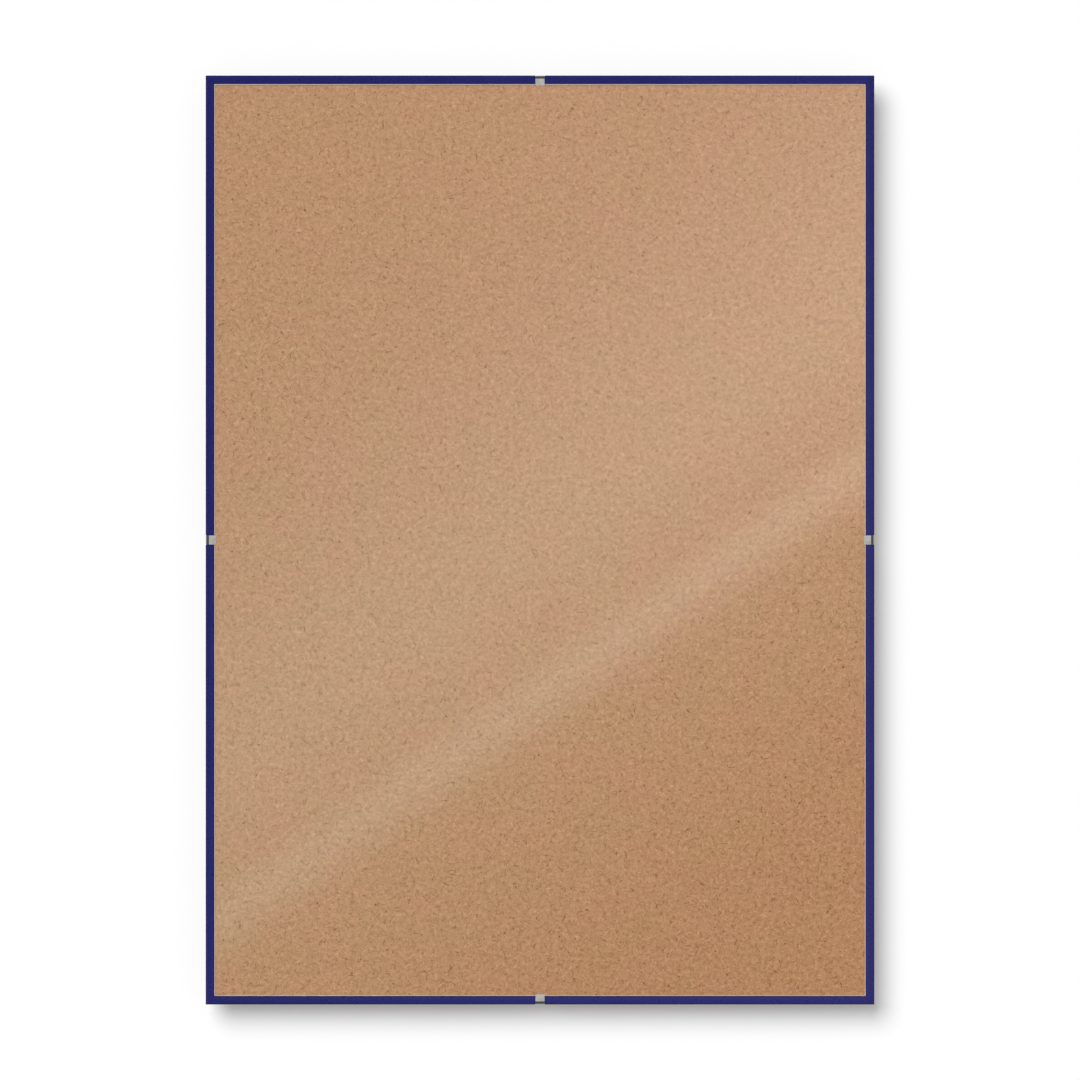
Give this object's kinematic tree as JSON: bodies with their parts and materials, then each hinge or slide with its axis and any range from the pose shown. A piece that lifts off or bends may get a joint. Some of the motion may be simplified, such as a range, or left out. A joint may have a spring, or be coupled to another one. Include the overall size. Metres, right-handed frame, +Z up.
{
  "type": "clip frame",
  "caption": "Upright clip frame: clear pane over a plain sheet and hardboard, slim edge strips, a spring clip on each side and ring hangers behind.",
  "frame": {"origin": "on the back board's rear face, straight behind the point where a wall hook bears on the upright ring", "axes": "+X to the right seen from the front, +Z up, -Y out of the front of the picture, +Y into the wall"},
  "size_m": [0.5136, 0.0094, 0.7136],
  "materials": {
    "pane": "clear, polished",
    "kraft_sheet": "plain brown kraft",
    "hardboard": "raw hardboard, mesh back",
    "strip_plastic": "dark blue, semi-gloss",
    "clip_steel": "zinc-plated spring steel",
    "hanger_steel": "nickel-plated",
    "rivet_steel": "nickel-plated"
  },
  "bodies": {
    "frame": {"front_pane": "pane", "insert_sheet": "kraft_sheet", "back_board": "hardboard", "edge_strip_top": "strip_plastic", "edge_strip_right": "strip_plastic", "edge_strip_bottom": "strip_plastic", "edge_strip_left": "strip_plastic", "hanger_strap_upright": "hanger_steel", "hanger_strap_sideways": "hanger_steel", "hanger_rivet_upright": "rivet_steel", "hanger_rivet_sideways": "rivet_steel"},
    "clip_top": {"clip_top": "clip_steel"},
    "clip_right": {"clip_right": "clip_steel"},
    "clip_bottom": {"clip_bottom": "clip_steel"},
    "clip_left": {"clip_left": "clip_steel"},
    "ring_upright": {"hanger_ring_upright": "hanger_steel"},
    "ring_sideways": {"hanger_ring_sideways": "hanger_steel"}
  },
  "joints": [
    {"name": "clip_top_lift", "type": "hinge", "parent": "frame", "child": "clip_top", "pos_m": [0, -0.00565, 0.0471], "axis": [1, 0, 0], "range_deg": [0, 12], "stiffness_Nm_per_rad": 0.2},
    {"name": "clip_right_lift", "type": "hinge", "parent": "frame", "child": "clip_right", "pos_m": [0.2489, -0.00565, -0.3018], "axis": [0, 0, -1], "range_deg": [0, 12], "stiffness_Nm_per_rad": 0.2},
    {"name": "clip_bottom_lift", "type": "hinge", "parent": "frame", "child": "clip_bottom", "pos_m": [0, -0.00565, -0.6507], "axis": [-1, 0, 0], "range_deg": [0, 12], "stiffness_Nm_per_rad": 0.2},
    {"name": "clip_left_lift", "type": "hinge", "parent": "frame", "child": "clip_left", "pos_m": [-0.2489, -0.00565, -0.3018], "axis": [0, 0, 1], "range_deg": [0, 12], "stiffness_Nm_per_rad": 0.2},
    {"name": "ring_upright_swing", "type": "hinge", "parent": "frame", "child": "ring_upright", "pos_m": [0, 0.00148, -0.01009], "axis": [-1, 0, 0], "range_deg": [0, 165]},
    {"name": "ring_sideways_swing", "type": "hinge", "parent": "frame", "child": "ring_sideways", "pos_m": [-0.19171, 0.00148, -0.3018], "axis": [0, 0, -1], "range_deg": [0, 165]}
  ]
}
